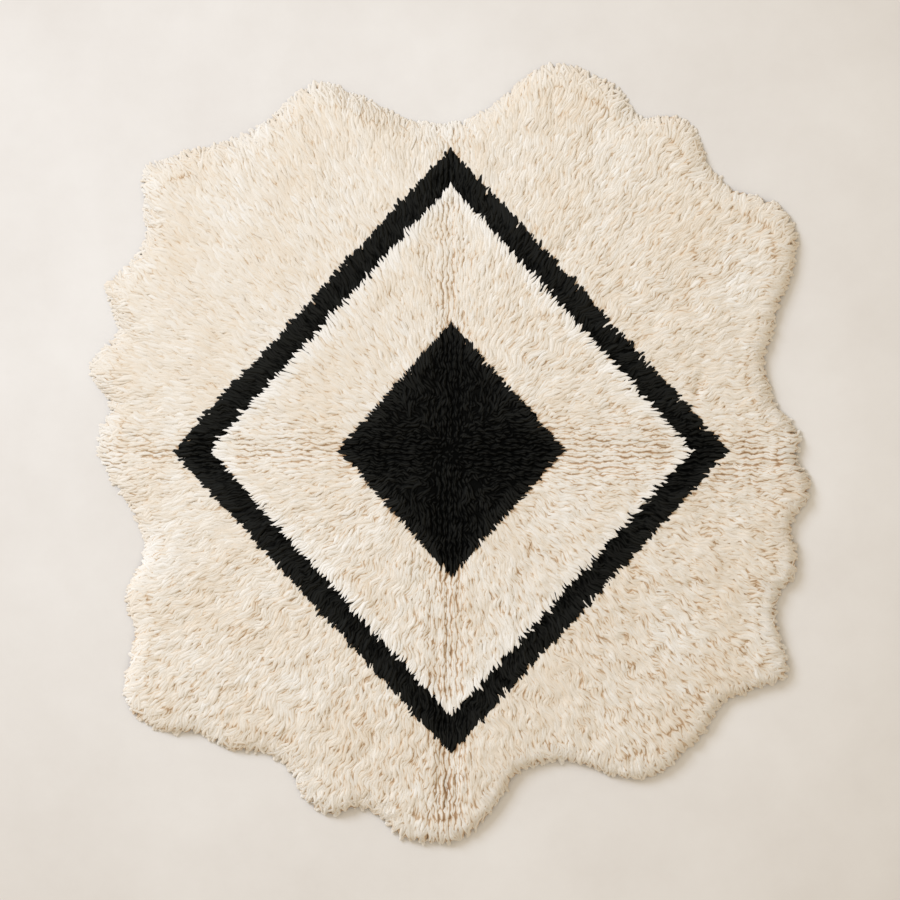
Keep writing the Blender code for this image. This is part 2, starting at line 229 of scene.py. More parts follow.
# The black wool: a lozenge border and a lozenge in the middle, by half width and half height, and
# by the place of its middle. The locks along its sides cross them at `place`, give or take `stray`.
Lozenge = namedtuple("Lozenge", "half_width half_height x y place stray pitch shape")
BORDER_OUTER = Lozenge(0.574, 0.625, 0.0014, 0.0025, 0.86, 0.0034, 0.0058, BLUNT)
BORDER_INNER = Lozenge(0.4955, 0.5457, 0.0015, 0.0037, 0.78, 0.0036, 0.0060, POINTED)
CENTRE = Lozenge(0.2373, 0.2650, 0.0025, 0.0047, 0.93, 0.0018, 0.0066, BLUNT)
LOZENGES = (CENTRE, BORDER_INNER, BORDER_OUTER)
EDGE_JITTER = 0.30  # of their pitch
EDGE_RISE = 0.0007  # they lie over the other locks
EDGE_WITHIN = 0.98  # the place at this share of a side's reach tells which piece they are of
EDGE_BARE = (0.008, 0.003)  # no other knots this near to a side, inside and outside it

# The bed of felted underwool and the woven ground.
BED_CELL = 0.0120
BED_DEPTH = 0.0029  # its top lies this far below the top of the pile
BED_LEAST = 0.0045  # but no lower than this
BED_SHADE = 0.60  # this share of its depth counts for its colour
BED_INSET = 0.015  # its last cells have their middles at least this far inside the rim
BED_GAP = 0.0002  # from the ground
GROUND_THICKNESS = 0.003
GROUND_INSET = 0.018  # from the rim
GROUND_STEPS = 360
GROUND_RINGS = 10

# A lock's colour comes from one strip of its material's map, and from its depth the other way, which
# darkens it as painted shade in creases and gaps, partly the wool's own darker roots.
STRIPS = 32
STRIP_FILL = 0.42  # a lock's sides lie this far from the middle of its strip, in strips
BED_STRIP = 14
DEPTH_SPAN = 0.010
MAP_MARGIN = 0.02
MAP_HEIGHT = 0.96
WHITE = (1.0, 1.0, 1.0)
CALM_SHADE = 0.45  # where the pile is calm, depth counts for more: 1 would make it even
IVORY_SOFTNESS = 0.66  # how far the shading leans from a lock's own form to the whole pile's
BLACK_SOFTNESS = 0.20
DOWNWARD = -0.25  # faces whose normals' height is less than this look down
SLOPE_STEP = 0.004  # the pile's slope is taken over this distance
SLOPE_MOST = 1.3
SLOPE_SHARE = (0.02, 1.0)  # this share of the slope counts for the shading, calm and restless

# The view: straight down, so high that the frame is as wide as in the photograph.
FRAME_WIDTH = 1.872
FRAME_CENTRE = (0.0, 0.0042)
LENS = 85.0
SENSOR = 36.0
SIGHT_HEIGHT = 0.020  # the frame's width is measured at this height

# The floor, a warm sky all round and a cool broad lamp at the upper left.
FLOOR_HALF = 9.0
FLOOR_HEIGHT = -0.0005
SKY_COLOUR = (1.0, 0.903, 0.759, 1.0)
SKY_STRENGTH = 0.69
LAMP_SIZE = (3.4, 2.4)
LAMP_ENERGY = 440.0
LAMP_COLOUR = (0.72, 0.82, 1.0)
LAMP_PLACE = (-5.10, 3.80, 3.97)

rng = np.random.default_rng(SEED)


def smoothstep(t):
    """Eases from 0 to 1 as t goes from 0 to 1."""
    t = np.clip(t, 0.0, 1.0)
    return t * t * (3.0 - 2.0 * t)


def spread(ends, share):
    """Runs from the first of two ends to the other as the share goes from 0 to 1."""
    return ends[0] + (ends[1] - ends[0]) * share


def polar(far, bearing):
    return far * np.cos(bearing), far * np.sin(bearing)


class Drift:
    """A smooth random field over the floor plan, made of plane waves about one size long."""

    WAVES = 16
    RATES = (0.6, 1.5)
    HEIGHT = 0.6

    def __init__(self, size):
        self.turn = rng.uniform(0.0, TURN, self.WAVES)
        rate = TURN / size * rng.uniform(*self.RATES, self.WAVES)
        self.across = rate * np.cos(self.turn)
        self.up = rate * np.sin(self.turn)
        self.start = rng.uniform(0.0, TURN, self.WAVES)
        self.scale = self.HEIGHT * math.sqrt(2.0 / self.WAVES)

    def waves(self, x, y):
        x, y = np.asarray(x)[..., None], np.asarray(y)[..., None]
        return self.scale * np.sin(self.across * x + self.up * y + self.start)

    def __call__(self, x, y):
        """The field as a number, mostly between -1 and 1."""
        return self.waves(x, y).sum(-1)

    def push(self, x, y):
        """The field as a push: each wave pushes square to its way, so that areas stay the same."""
        waves = self.waves(x, y)
        return -(waves * np.sin(self.turn)).sum(-1), (waves * np.cos(self.turn)).sum(-1)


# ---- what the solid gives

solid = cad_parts["rug"].data
solid_corners = np.empty(len(solid.vertices) * 3, np.float32)
solid.vertices.foreach_get("co", solid_corners)
solid_corners = solid_corners.reshape(-1, 3).astype(float)
solid_faces = [tuple(face.vertices) for face in solid.polygons]
solid_tree = BVHTree.FromPolygons(solid_corners.tolist(), solid_faces)

TIP_BAND = (0.006, 0.012)  # the solid's lock tips are its only corners at these heights
TIP_DIGITS = 5  # corners that agree to so many digits are one


def lock_tips():
    """Bearings and distances of the solid's lock tips from the middle, in order round the rim."""
    height = solid_corners[:, 2]
    held = (height > TIP_BAND[0]) & (height < TIP_BAND[1])
    tips = np.unique(np.round(solid_corners[held], TIP_DIGITS), axis=0)
    bearing = np.arctan2(tips[:, 1], tips[:, 0])
    order = np.argsort(bearing)
    return bearing[order], np.hypot(tips[:, 0], tips[:, 1])[order]


TIP_BEARINGS, TIP_REACHES = lock_tips()


def reach(bearing):
    """How far the pile reaches from the middle at a bearing."""
    return np.interp(bearing, TIP_BEARINGS, TIP_REACHES, period=TURN)


def between_tips(bearing):
    """Runs from 0 at each of the solid's lock tips to 1 half way to the next."""
    turned = np.where(bearing < TIP_BEARINGS[0], bearing + TURN, bearing)
    round_again = np.append(TIP_BEARINGS, TIP_BEARINGS[0] + TURN)
    place = np.interp(turned, round_again, np.arange(len(round_again)))
    return 1.0 - np.abs(2.0 * (place % 1.0) - 1.0)


def nearest_tip(bearing):
    """The bearing of the solid's lock tip that is nearest to a bearing."""
    round_again = np.concatenate([TIP_BEARINGS[-1:] - TURN, TIP_BEARINGS, TIP_BEARINGS[:1] + TURN])
    after = np.searchsorted(round_again, bearing)
    first, last = round_again[after - 1], round_again[after]
    return np.where(bearing - first < last - bearing, first, last)


def evened_rim():
    """The rim's reach, smoothed, and the angle from straight out to square to the rim."""
    bearing = np.radians(np.arange(0.0, 360.0, RIM_STEP))
    far = reach(bearing)
    window = np.hanning(RIM_SMOOTHING + 2)[1:-1]
    wide = np.concatenate([far[-RIM_SMOOTHING:], far, far[:RIM_SMOOTHING]])
    even = np.convolve(wide, window / window.sum(), "same")[RIM_SMOOTHING:-RIM_SMOOTHING]
    slope = (np.roll(even, -1) - np.roll(even, 1)) / (2.0 * math.radians(RIM_STEP))
    return bearing, even, -np.arctan2(slope, even)


RIM_BEARINGS, RIM_REACHES, RIM_ANGLES = evened_rim()


def even_reach(bearing):
    return np.interp(bearing, RIM_BEARINGS, RIM_REACHES, period=TURN)


def rim_angle(bearing):
    return np.interp(bearing, RIM_BEARINGS, RIM_ANGLES, period=TURN)


def from_rim(x, y):
    """How far a place lies inside the evened rim, measured towards the middle."""
    return even_reach(np.arctan2(y, x)) - np.hypot(x, y)


def near_rim(x, y, width):
    """Runs from 1 at the rim to 0 this far inside it."""
    return smoothstep(1.0 - from_rim(x, y) / width)


def inside_rim(x, y, inset):
    return np.hypot(x, y) < reach(np.arctan2(y, x)) - inset


class HeightMap:
    """The top of the solid, read on a grid, and smoothly between its points."""

    STEP = 0.010
    FROM_ABOVE = 0.2
    MARGIN = 0.05
    FILL_ROUNDS = 5
    FILL_SHARE = 0.85
    LAST = 1.001  # places past the grid are read just inside its last cells

    def __init__(self):
        low, high = CAD_BOX
        self.x0, self.y0 = low.x - self.MARGIN, low.y - self.MARGIN
        columns = int((high.x - low.x + 2.0 * self.MARGIN) / self.STEP) + 2
        rows = int((high.y - low.y + 2.0 * self.MARGIN) / self.STEP) + 2
        self.grid = np.zeros((rows, columns))
        down = Vector((0.0, 0.0, -1.0))
        for row in range(rows):
            for column in range(columns):
                spot = (self.x0 + column * self.STEP, self.y0 + row * self.STEP, self.FROM_ABOVE)
                hit = solid_tree.ray_cast(Vector(spot), down)[0]
                self.grid[row, column] = hit.z if hit else 0.0
        self.fill_outside()

    def fill_outside(self):
        """Carries the rim's height outwards, sinking a little with each step."""
        for _ in range(self.FILL_ROUNDS):
            near = np.stack([np.roll(self.grid, move, axis) for axis in (0, 1) for move in (-1, 1)])
            self.grid = np.where(self.grid > 0.0, self.grid, self.FILL_SHARE * near.max(0))

    def __call__(self, x, y):
        grid = self.grid
        across = np.clip((x - self.x0) / self.STEP, 0, grid.shape[1] - self.LAST)
        up = np.clip((y - self.y0) / self.STEP, 0, grid.shape[0] - self.LAST)
        i, j = up.astype(int), across.astype(int)
        s, t = across - j, up - i
        lower = grid[i, j] * (1.0 - s) + grid[i, j + 1] * s
        upper = grid[i + 1, j] * (1.0 - s) + grid[i + 1, j + 1] * s
        return lower * (1.0 - t) + upper * t


solid_top = HeightMap()


# ---- where the pile lies, and how

broad_stir = Drift(BROAD_STIR_SIZE)
fine_stir = Drift(FINE_STIR_SIZE)
lumps = Drift(LUMP_SIZE)
furrow_fade = Drift(FURROW_FADE_SIZE)
furrow_wander = Drift(FURROW_WANDER_SIZE)
patches, small_patches = (Drift(size) for size in PATCH_SIZES)


def unrest_share(x, y):
    """Runs from 0, where the pile is calmest, to 1, where it is most restless."""
    toward = x * math.cos(UNREST_WAY) + y * math.sin(UNREST_WAY)
    return smoothstep((toward - UNREST_FROM) / UNREST_OVER)


def unrest(x, y):
    """How restless the pile is at a place."""
    return spread(UNREST, unrest_share(x, y))


def fold_way(fold):
    """Which way a fold runs, as a step of length 1."""
    size = math.hypot(fold.x, fold.y)
    return fold.x / size, fold.y / size


def fold_places(fold, x, y):
    """Places along the fold from the middle, and beside it."""
    ax, ay = fold_way(fold)
    return x * ax + y * ay, y * ax - x * ay


def fold_share(fold, x, y):
    """How strongly one fold shows at a place, from 0 to its strength."""
    along, beside = fold_places(fold, x, y)
    width = fold.half_width * (FOLD_WIDTH[0] + FOLD_WIDTH[1] * smoothstep(along / FOLD_WIDENING))
    across = np.exp(-((beside / width) ** 2) * FOLD_FALL)
    start = smoothstep((along + FOLD_START[0]) / FOLD_START[1])
    end = smoothstep((fold.length - along) / FOLD_END[0] + FOLD_END[1])
    return fold.strength * across * (start * end)


def fold_weight(x, y):
    return np.max([fold_share(fold, x, y) for fold in FOLDS], axis=0)


def turn_between(first, last):
    """The turn from one bearing to another, the shorter way round."""
    return np.remainder(last - first + np.pi, TURN) - np.pi


def within_centre(x, y):
    """Runs from 0 at the middle lozenge's sides to 1 well inside it."""
    return smoothstep(-beyond(CENTRE, x, y) / CENTRE_STIR_WIDTH)


def combed(x, y):
    """The bearing in which the combed pile lies at a place."""
    bearing = np.arctan2(y, x)
    way = bearing + RIM_TURN * near_rim(x, y, RIM_TURN_WIDTH) * rim_angle(bearing)
    straight = np.round(bearing / (0.5 * np.pi)) * 0.5 * np.pi
    way = way + CENTRE_COMB * within_centre(x, y) * turn_between(bearing, straight)
    for fold in FOLDS:
        along_it = turn_between(way, math.atan2(fold.y, fold.x))
        way = way + FURROW_COMB * furrow_share(fold, x, y) * along_it
    return way


def stirred(x, y):
    """Where a place of the combed pile comes to lie once the pile is stirred."""
    left = smoothstep(from_rim(x, y) / STIR_FADE) * (1.0 - FOLD_CALM * fold_weight(x, y))
    broad_x, broad_y = broad_stir.push(x, y)
    fine_x, fine_y = fine_stir.push(x, y)
    more = CENTRE_STIR * within_centre(x, y)
    broad = BROAD_STIR * (unrest(x, y) + more) * left
    fine = FINE_STIR * spread((FINE_LEFT, 1.0), left) * (1.0 + more)
    fine = fine * spread(FINE_UNREST, unrest_share(x, y))
    return x + broad * broad_x + fine * fine_x, y + broad * broad_y + fine * fine_y


def unstirred(x, y):
    """The place of the combed pile that comes to lie at a given place, found step by step."""
    before_x, before_y = x, y
    for _ in range(UNSTIR_ROUNDS):
        after_x, after_y = stirred(before_x, before_y)
        before_x, before_y = before_x + x - after_x, before_y + y - after_y
    return before_x, before_y


def furrow_share(fold, x, y):
    """How firmly a fold gathers the locks at a place into its ridges, from 0 to 1."""
    fade = np.clip(FURROW_FADE[0] + FURROW_FADE[1] * furrow_fade(x, y), 0.0, 1.0)
    return np.clip(FOLD_GRIP * fold_share(fold, x, y), 0.0, 1.0) * fade


def furrowed(x, y):
    """Gathers the locks beside the folds into ridges, each lock into the one its knot stands in.

    Returns the new places of their rings, how far they sink, and how firmly they are gathered.
    """
    sink = np.zeros_like(x)
    held = np.zeros_like(x)
    for fold in FOLDS:
        ax, ay = fold_way(fold)
        along, beside = fold_places(fold, x, y)
        phase = FURROW_WANDER * furrow_wander(x, y)
        wave = np.sin(TURN * along / FURROW_SWAY_LENGTH + phase)
        ridge = (beside - FURROW_SWAY * wave) / fold.pitch
        off = ridge - np.round(ridge[:, KNOT_RING:KNOT_RING + 1])
        share = furrow_share(fold, x, y)
        kept = off + share * (FURROW_HOLD * np.tanh(off / FURROW_HOLD) - off)
        move = (kept - off) * fold.pitch
        x = x - ay * move
        y = y + ax * move
        sink = np.maximum(sink, share * (FURROW_DEPTH * (kept / FURROW_HOLD) ** 2 + FOLD_SINK))
        held = np.maximum(held, share)
    return x, y, sink, held


def gathered_at_rim(x, y):
    """Leans the tips at the rim together, in tufts."""
    bearing, far = np.arctan2(y, x), np.hypot(x, y)
    share = spread(RIM_GATHER, unrest_share(x, y)) * near_rim(x, y, RIM_GATHER_WIDTH)
    bearing = bearing + share * (nearest_tip(bearing) - bearing)
    return polar(far, bearing)


def surface(x, y):
    """The height of the pile's top at a place, before the folds and the single locks."""
    inward = from_rim(x, y)
    share = unrest_share(x, y)
    left = 1.0 - np.clip(inward / spread(RIM_ROUND, share), 0.0, 1.0)
    risen = (1.0 - left * left) ** spread(RIM_POWER, share)
    rounded = spread((spread(RIM_HEIGHT, share), PILE_HEIGHT), risen)
    top = spread((rounded, solid_top(x, y)), smoothstep(inward / RIM_BLEND))
    return top + LUMP_RISE * unrest(x, y) * lumps(x, y)


def surface_normals(x, y):
    """Which way the whole pile's top faces at a place."""
    half = 0.5 * SLOPE_STEP
    rise_x = (surface(x + half, y) - surface(x - half, y)) / SLOPE_STEP
    rise_y = (surface(x, y + half) - surface(x, y - half)) / SLOPE_STEP
    steep = np.maximum(np.hypot(rise_x, rise_y) / SLOPE_MOST, 1.0)
    steep = steep / spread(SLOPE_SHARE, unrest_share(x, y))
    normals = np.stack([-rise_x / steep, -rise_y / steep, np.ones_like(rise_x)], -1)
    return normals / np.linalg.norm(normals, axis=-1, keepdims=True)


def beyond(lozenge, x, y):
    """How far a place lies outside a lozenge, square to its side. Inside it is below zero."""
    share = np.abs(x - lozenge.x) / lozenge.half_width + np.abs(y - lozenge.y) / lozenge.half_height
    side = math.hypot(lozenge.half_width, lozenge.half_height)
    return (share - 1.0) * lozenge.half_width * lozenge.half_height / side


REGIONS = (
    "pile_field_ne", "pile_field_nw", "pile_field_sw", "pile_field_se",
    "pile_middle_n", "pile_middle_s", "pile_border", "pile_centre",
)
FIELD_NE, FIELD_NW, FIELD_SW, FIELD_SE, MIDDLE_N, MIDDLE_S, IN_BORDER, IN_CENTRE = range(8)


def region_at(x, y):
    """The number of the piece of pile that a place belongs to."""
    upper = np.where(x >= 0, FIELD_NE, FIELD_NW)
    lower = np.where(x < 0, FIELD_SW, FIELD_SE)
    quarter = np.where(y >= 0, upper, lower)
    middle = np.where(y >= 0, MIDDLE_N, MIDDLE_S)
    inside = [beyond(lozenge, x, y) < 0.0 for lozenge in LOZENGES]
    return np.select(inside, [IN_CENTRE, middle, IN_BORDER], quarter)


# ---- the locks

Locks = namedtuple("Locks", "points across up half high top tone region restless")


def knot_row(far, mean, bearing, rim, pitch=KNOT_PITCH):
    """Knots evenly along one row, which is round in the middle and follows the rim outside."""
    radius = far * (1.0 + smoothstep(far / mean) * (rim / mean - 1.0))
    x, y = polar(radius, bearing)
    run = np.concatenate([[0.0], np.cumsum(np.hypot(np.diff(x), np.diff(y)))])
    count = max(LEAST_KNOTS, round(run[-1] / pitch))
    spots = np.arange(count) + rng.uniform() + rng.uniform(-KNOT_JITTER, KNOT_JITTER, count)
    where = np.interp(spots / count * run[-1] % run[-1], run, bearing)
    stray = ROW_PITCH * rng.uniform(-ROW_JITTER, ROW_JITTER, count)
    radius = np.interp(where, bearing, radius) + stray
    return polar(radius, where)


def knot_places():
    """The knots of every row, and how deep each lies."""
    bearing = np.linspace(0.0, TURN, ROW_STEPS + 1)
    rim = even_reach(bearing)
    mean = rim.mean()
    field = np.arange(FIRST_ROW, mean - RIM_ROWS[0].inset - 0.5 * ROW_PITCH, ROW_PITCH)
    places = [(*knot_row(far, mean, bearing, rim), 0.0) for far in field]
    for row in RIM_ROWS:
        places.append((*knot_row(mean - row.inset, mean, bearing, rim, row.pitch), row.sunk))
    x, y = (np.concatenate([place[axis] for place in places]) for axis in (0, 1))
    return x, y, np.concatenate([np.full(len(place[0]), place[2]) for place in places])


def along_lock(x, y, way, length, place):
    """A place of a lock, by its share of the length, once the pile is stirred."""
    run = (place - LOCK_MIDDLE) * length
    return stirred(x + run * np.cos(way), y + run * np.sin(way))


def random_lengths(count):
    return spread(LOCK_LENGTH, rng.uniform(0.0, 1.0, count))


def looseness(x, y):
    """How much more the locks turn and bend at a place than in the open field."""
    outer = RIM_LOOSENESS * near_rim(x, y, STIR_FADE)
    return 1.0 + outer + MIDDLE_LOOSENESS * smoothstep(1.0 - np.hypot(x, y) / MIDDLE_WIDTH)


def field_locks():
    """The common locks: their knots, ways, lengths, pieces and shapes, and how deep they lie."""
    x, y, sunk = knot_places()
    count = len(x)
    way = combed(x, y) + looseness(x, y) * rng.normal(0.0, LOCK_TURN, count)
    length = random_lengths(count) * np.where(beyond(CENTRE, x, y) < 0.0, CENTRE_LENGTH, 1.0)
    full = length.copy()
    spare = rng.normal(*RIM_STRAY, count) + UNDER_SPARE * sunk
    for _ in range(CUT_ROUNDS):
        tip_x, tip_y = along_lock(x, y, way, length, 1.0)
        between = between_tips(np.arctan2(tip_y, tip_x)) - NOTCH_OUTWARD
        notch = spread(RIM_NOTCH, unrest_share(tip_x, tip_y)) * between
        over = ~inside_rim(tip_x, tip_y, spare + notch)
        length[over] *= CUT_SHARE
    kept = ~over & (length > LEAST_LENGTH * full)
    lies_x, lies_y = stirred(x, y)
    for lozenge in LOZENGES:
        past = beyond(lozenge, lies_x, lies_y)
        kept &= (past < -EDGE_BARE[0]) | (past > EDGE_BARE[1])
    region = region_at(lies_x, lies_y)
    tip_x, tip_y = along_lock(x, y, way, length, 1.0)
    shape = np.where(from_rim(tip_x, tip_y) < RIM_SHOWN, ROUND, FELTED)
    return [a[kept] for a in (x, y, way, length, region, shape, sunk)]


def edge_locks(lozenge):
    """The pointed locks along a lozenge's sides, in the same terms."""
    corner_x = lozenge.half_width * np.array([1.0, 0.0, -1.0, 0.0, 1.0])
    corner_y = lozenge.half_height * np.array([0.0, 1.0, 0.0, -1.0, 0.0])
    run = math.hypot(lozenge.half_width, lozenge.half_height) * np.arange(5.0)
    count = round(run[-1] / lozenge.pitch)
    spots = (np.arange(count) + rng.uniform(-EDGE_JITTER, EDGE_JITTER, count)) % count / count * run[-1]
    side_x, side_y = np.interp(spots, run, corner_x), np.interp(spots, run, corner_y)
    region = region_at(lozenge.x + EDGE_WITHIN * side_x, lozenge.y + EDGE_WITHIN * side_y)
    x, y = unstirred(lozenge.x + side_x, lozenge.y + side_y)
    way = combed(x, y) + rng.normal(0.0, LOCK_TURN, count)
    length = random_lengths(count)
    back = (lozenge.place - LOCK_MIDDLE) * length + lozenge.stray * rng.normal(size=count)
    x, y = x - back * np.cos(way), y - back * np.sin(way)
    return x, y, way, length, region, np.full(count, lozenge.shape), np.zeros(count)


def grow_locks():
    """Every lock of the rug: its spine, its frame along the spine, its size, tone and piece."""
    kinds = [field_locks(), *(edge_locks(lozenge) for lozenge in LOZENGES)]
    x, y, way, length, region, shape, sunk = (np.concatenate(parts) for parts in zip(*kinds))
    count = len(x)
    place, taper, drop = np.moveaxis(SHAPES[shape], -1, 0)

    px, py = along_lock(x[:, None], y[:, None], way[:, None], length[:, None], place)
    bow = LOCK_BEND * length * looseness(x, y) * rng.normal(size=count)
    bend = bow[:, None] * ((place - LOCK_MIDDLE) / BEND_REACH) ** 2
    px, py = px - bend * np.sin(way)[:, None], py + bend * np.cos(way)[:, None]
    px, py, sink, held = furrowed(px, py)
    px, py = gathered_at_rim(px, py)

    restless = unrest(x, y)
    gathered = held.max(1)
    chance = rng.uniform(0.0, 1.0, count)
    chance = chance + gathered * (0.5 - chance)  # gathered locks are of middling width
    width = spread(LOCK_WIDTH, chance) * WIDTHS[shape]
    width = width * np.where(region == IN_CENTRE, CENTRE_WIDTH, 1.0)
    width = width * spread(UNREST_WIDTH, unrest_share(x, y))
    half = 0.5 * width[:, None] * taper * (1.0 - FURROW_NARROW * held)
    high = LOCK_THICKNESS * restless[:, None] * half * (1.0 + FURROW_THICK * held)
    free = np.where(shape == ROUND, RIM_THICK * unrest_share(x, y), 0.0)[:, None] * high
    high = high + free
    top = surface(px, py)
    rise = LAYER_RISE * restless * (1.0 - FURROW_EVEN * gathered) * rng.normal(size=count)
    rise = np.where((shape == POINTED) | (shape == BLUNT), rise + EDGE_RISE, rise)[:, None]
    under = top * sunk[:, None]
    pz = top - under - sink + rise - drop * restless[:, None] - high
    pz = np.maximum(pz, high + FLOOR_GAP)
    points = np.stack([px, py, pz], -1)

    tangent = np.gradient(points, axis=1)
    tangent /= np.linalg.norm(tangent, axis=2, keepdims=True)
    across = np.stack([-tangent[..., 1], tangent[..., 0], np.zeros_like(px)], -1)
    across /= np.linalg.norm(across, axis=2, keepdims=True)
    up = np.cross(tangent, across)
    roll = ROLL * restless * (1.0 - FURROW_EVEN * gathered) * rng.normal(size=count)
    roll = roll[:, None, None]
    across, up = np.cos(roll) * across + np.sin(roll) * up, np.cos(roll) * up - np.sin(roll) * across

    tone = TONE_MEAN + TONE_JITTER * rng.normal(size=count)
    tone = tone + TONE_PATCHES[0] * patches(x, y) + TONE_PATCHES[1] * small_patches(x, y)
    # painted light: locks are paler in the folds to offset their shade
    tone = tone - FOLD_PAINTED_LIGHT * fold_weight(x, y) - TONE_POINTED * (shape == POINTED)
    # painted light: paler where restless between the lozenges, where the light falls off less
    tone = tone - MIDDLE_PAINTED_LIGHT * unrest_share(x, y) * np.isin(region, (MIDDLE_N, MIDDLE_S))
    tone = np.clip(tone, 0.0, TONE_MOST)
    # painted shade on the restless rim, away from the lamp, as if it lay deeper
    rim_shade = RIM_SHADE * near_rim(px, py, RIM_SHADE_WIDTH) * unrest_share(px, py)
    rim_shade = np.where(sunk[:, None] > 0.0, 0.0, rim_shade)
    # the height from which each ring's colour depth is taken; the depth below it is painted shade
    top = top + rim_shade - free - FOLD_SHADE * sink - (1.0 - UNDER_SHADE) * under
    return Locks(points, across, up, half, high, top, tone, region, restless)


# The section of a lock is a low triangle: its corners' places across the spine and above it.
SIDES = 3
AROUND = np.array([1.0, 0.0, -1.0])
ABOVE = np.array([0.0, 1.0, 0.0])


# how deep a place lies below the pile's top, as a place in the map: the wool darkens along it as
# painted shade
def map_depth(depth):
    return MAP_MARGIN + MAP_HEIGHT * np.clip(depth / DEPTH_SPAN, 0.0, 1.0)


def lock_mesh(locks, chosen):
    """Corners, map places and faces of the chosen locks, each a closed three-sided strand."""
    points, across, up = locks.points[chosen], locks.across[chosen], locks.up[chosen]
    inner = slice(1, -1)
    wide = locks.half[chosen][:, inner, None, None] * AROUND[:, None] * across[:, inner, None, :]
    tall = locks.high[chosen][:, inner, None, None] * ABOVE[:, None] * up[:, inner, None, :]
    section = points[:, inner, None, :] + wide + tall
    count, rings = section.shape[:2]
    body = section.reshape(count, rings * SIDES, 3)
    corners = np.concatenate([points[:, :1], body, points[:, -1:]], axis=1)

    top = locks.top[chosen]
    top = np.concatenate([top[:, :1], np.repeat(top[:, inner], SIDES, axis=1), top[:, -1:]], axis=1)
    strip = np.floor(locks.tone[chosen] * STRIPS)[:, None]
    sides = np.concatenate([[0.0], np.tile(AROUND, rings), [0.0]])
    u = (strip + 0.5 + STRIP_FILL * sides) / STRIPS
    # depth below the pile's top, which darkens the colour as painted shade in the creases and gaps
    depth = (top - corners[..., 2]) / locks.restless[chosen][:, None] ** CALM_SHADE
    places = np.stack([u, map_depth(depth)], -1)

    ring, side = np.meshgrid(np.arange(rings - 1), np.arange(SIDES), indexing="ij")
    here = 1 + (ring * SIDES + side).ravel()
    beside = 1 + (ring * SIDES + (side + 1) % SIDES).ravel()
    quads = np.stack([here, beside, beside + SIDES, here + SIDES], -1)
    first = 1 + np.arange(SIDES)
    last = first + (rings - 1) * SIDES
    root = np.stack([np.roll(first, -1), first, np.zeros(SIDES, int)], -1)
    tip = np.stack([last, np.roll(last, -1), np.full(SIDES, rings * SIDES + 1)], -1)
    ends = np.concatenate([root, tip])
    start = (np.arange(count) * (rings * SIDES + 2))[:, None, None]
    return (
        corners.reshape(-1, 3),
        places.reshape(-1, 2),
        (quads + start).reshape(-1, 4),
        (ends + start).reshape(-1, 3),
    )


# ---- the felted bed under the locks


def bed_cells():
    """Cells of the bed inside the rim: their rows, columns and pieces."""
    low, high = CAD_BOX
    columns = np.arange(int(low.x / BED_CELL) - 1, int(high.x / BED_CELL) + 2)
    rows = np.arange(int(low.y / BED_CELL) - 1, int(high.y / BED_CELL) + 2)
    column, row = (a.ravel() for a in np.meshgrid(columns, rows))
    x, y = (column + 0.5) * BED_CELL, (row + 0.5) * BED_CELL
    kept = inside_rim(x, y, BED_INSET)
    return row[kept], column[kept], region_at(x, y)[kept]


def bed_mesh(cells, number):
    """Corners, map places and faces of one piece's bed, a closed slab of cells."""
    row, column, region = cells
    held = {(r, c) for r, c, n in zip(row, column, region) if n == number}
    numbers = {}
    for r, c in sorted(held):
        for corner in ((r, c), (r, c + 1), (r + 1, c), (r + 1, c + 1)):
            numbers.setdefault(corner, len(numbers))
    spots = np.array(list(numbers), float) * BED_CELL
    y, x = spots[:, 0], spots[:, 1]
    furrow = (FURROW_DEPTH + FOLD_SINK) * np.clip(FOLD_GRIP * fold_weight(x, y), 0.0, 1.0)
    below = BED_DEPTH * unrest(x, y)
    top = np.maximum(surface(x, y) - furrow - below, BED_LEAST)
    low = np.full_like(top, GROUND_THICKNESS + BED_GAP)
    corners = np.concatenate([np.stack([x, y, top], -1), np.stack([x, y, low], -1)])
    shift = len(numbers)
    quads = []
    for r, c in sorted(held):
        a, b, d, e = (numbers[k] for k in ((r, c), (r, c + 1), (r + 1, c + 1), (r + 1, c)))
        quads.append((a, b, d, e))
        quads.append((a + shift, e + shift, d + shift, b + shift))
        sides = (((r - 1, c), a, b), ((r, c + 1), b, d), ((r + 1, c), d, e), ((r, c - 1), e, a))
        for beside, first, second in sides:
            if beside not in held:
                quads.append((first, first + shift, second + shift, second))
    stray = rng.uniform(-1.0, 1.0, 2 * shift)
    u = (BED_STRIP + 0.5 + STRIP_FILL * stray) / STRIPS
    # the bed's colour has painted shade by its depth: its sides and underside take the darkest
    v = map_depth(np.concatenate([BED_SHADE * (furrow + below), np.full_like(top, DEPTH_SPAN)]))
    return corners, np.stack([u, v], -1), np.array(quads)


# ---- meshes, materials, pieces


def make_mesh(name, corners, places, quads, ends):
    mesh = bpy.data.meshes.new(name)
    mesh.vertices.add(len(corners))
    mesh.vertices.foreach_set("co", corners.astype(np.float32).ravel())
    loops = np.concatenate([quads.ravel(), ends.ravel()]).astype(np.int32)
    totals = np.concatenate([np.full(len(quads), 4), np.full(len(ends), 3)]).astype(np.int32)
    mesh.loops.add(len(loops))
    mesh.loops.foreach_set("vertex_index", loops)
    mesh.polygons.add(len(totals))
    mesh.polygons.foreach_set("loop_start", (np.cumsum(totals) - totals).astype(np.int32))
    mesh.polygons.foreach_set("loop_total", totals)
    layer = mesh.uv_layers.new(name="OFBake")
    layer.uv.foreach_set("vector", places[loops].astype(np.float32).ravel())
    mesh.update(calc_edges=True)
    mesh.validate()
    mesh.shade_smooth()
    return mesh


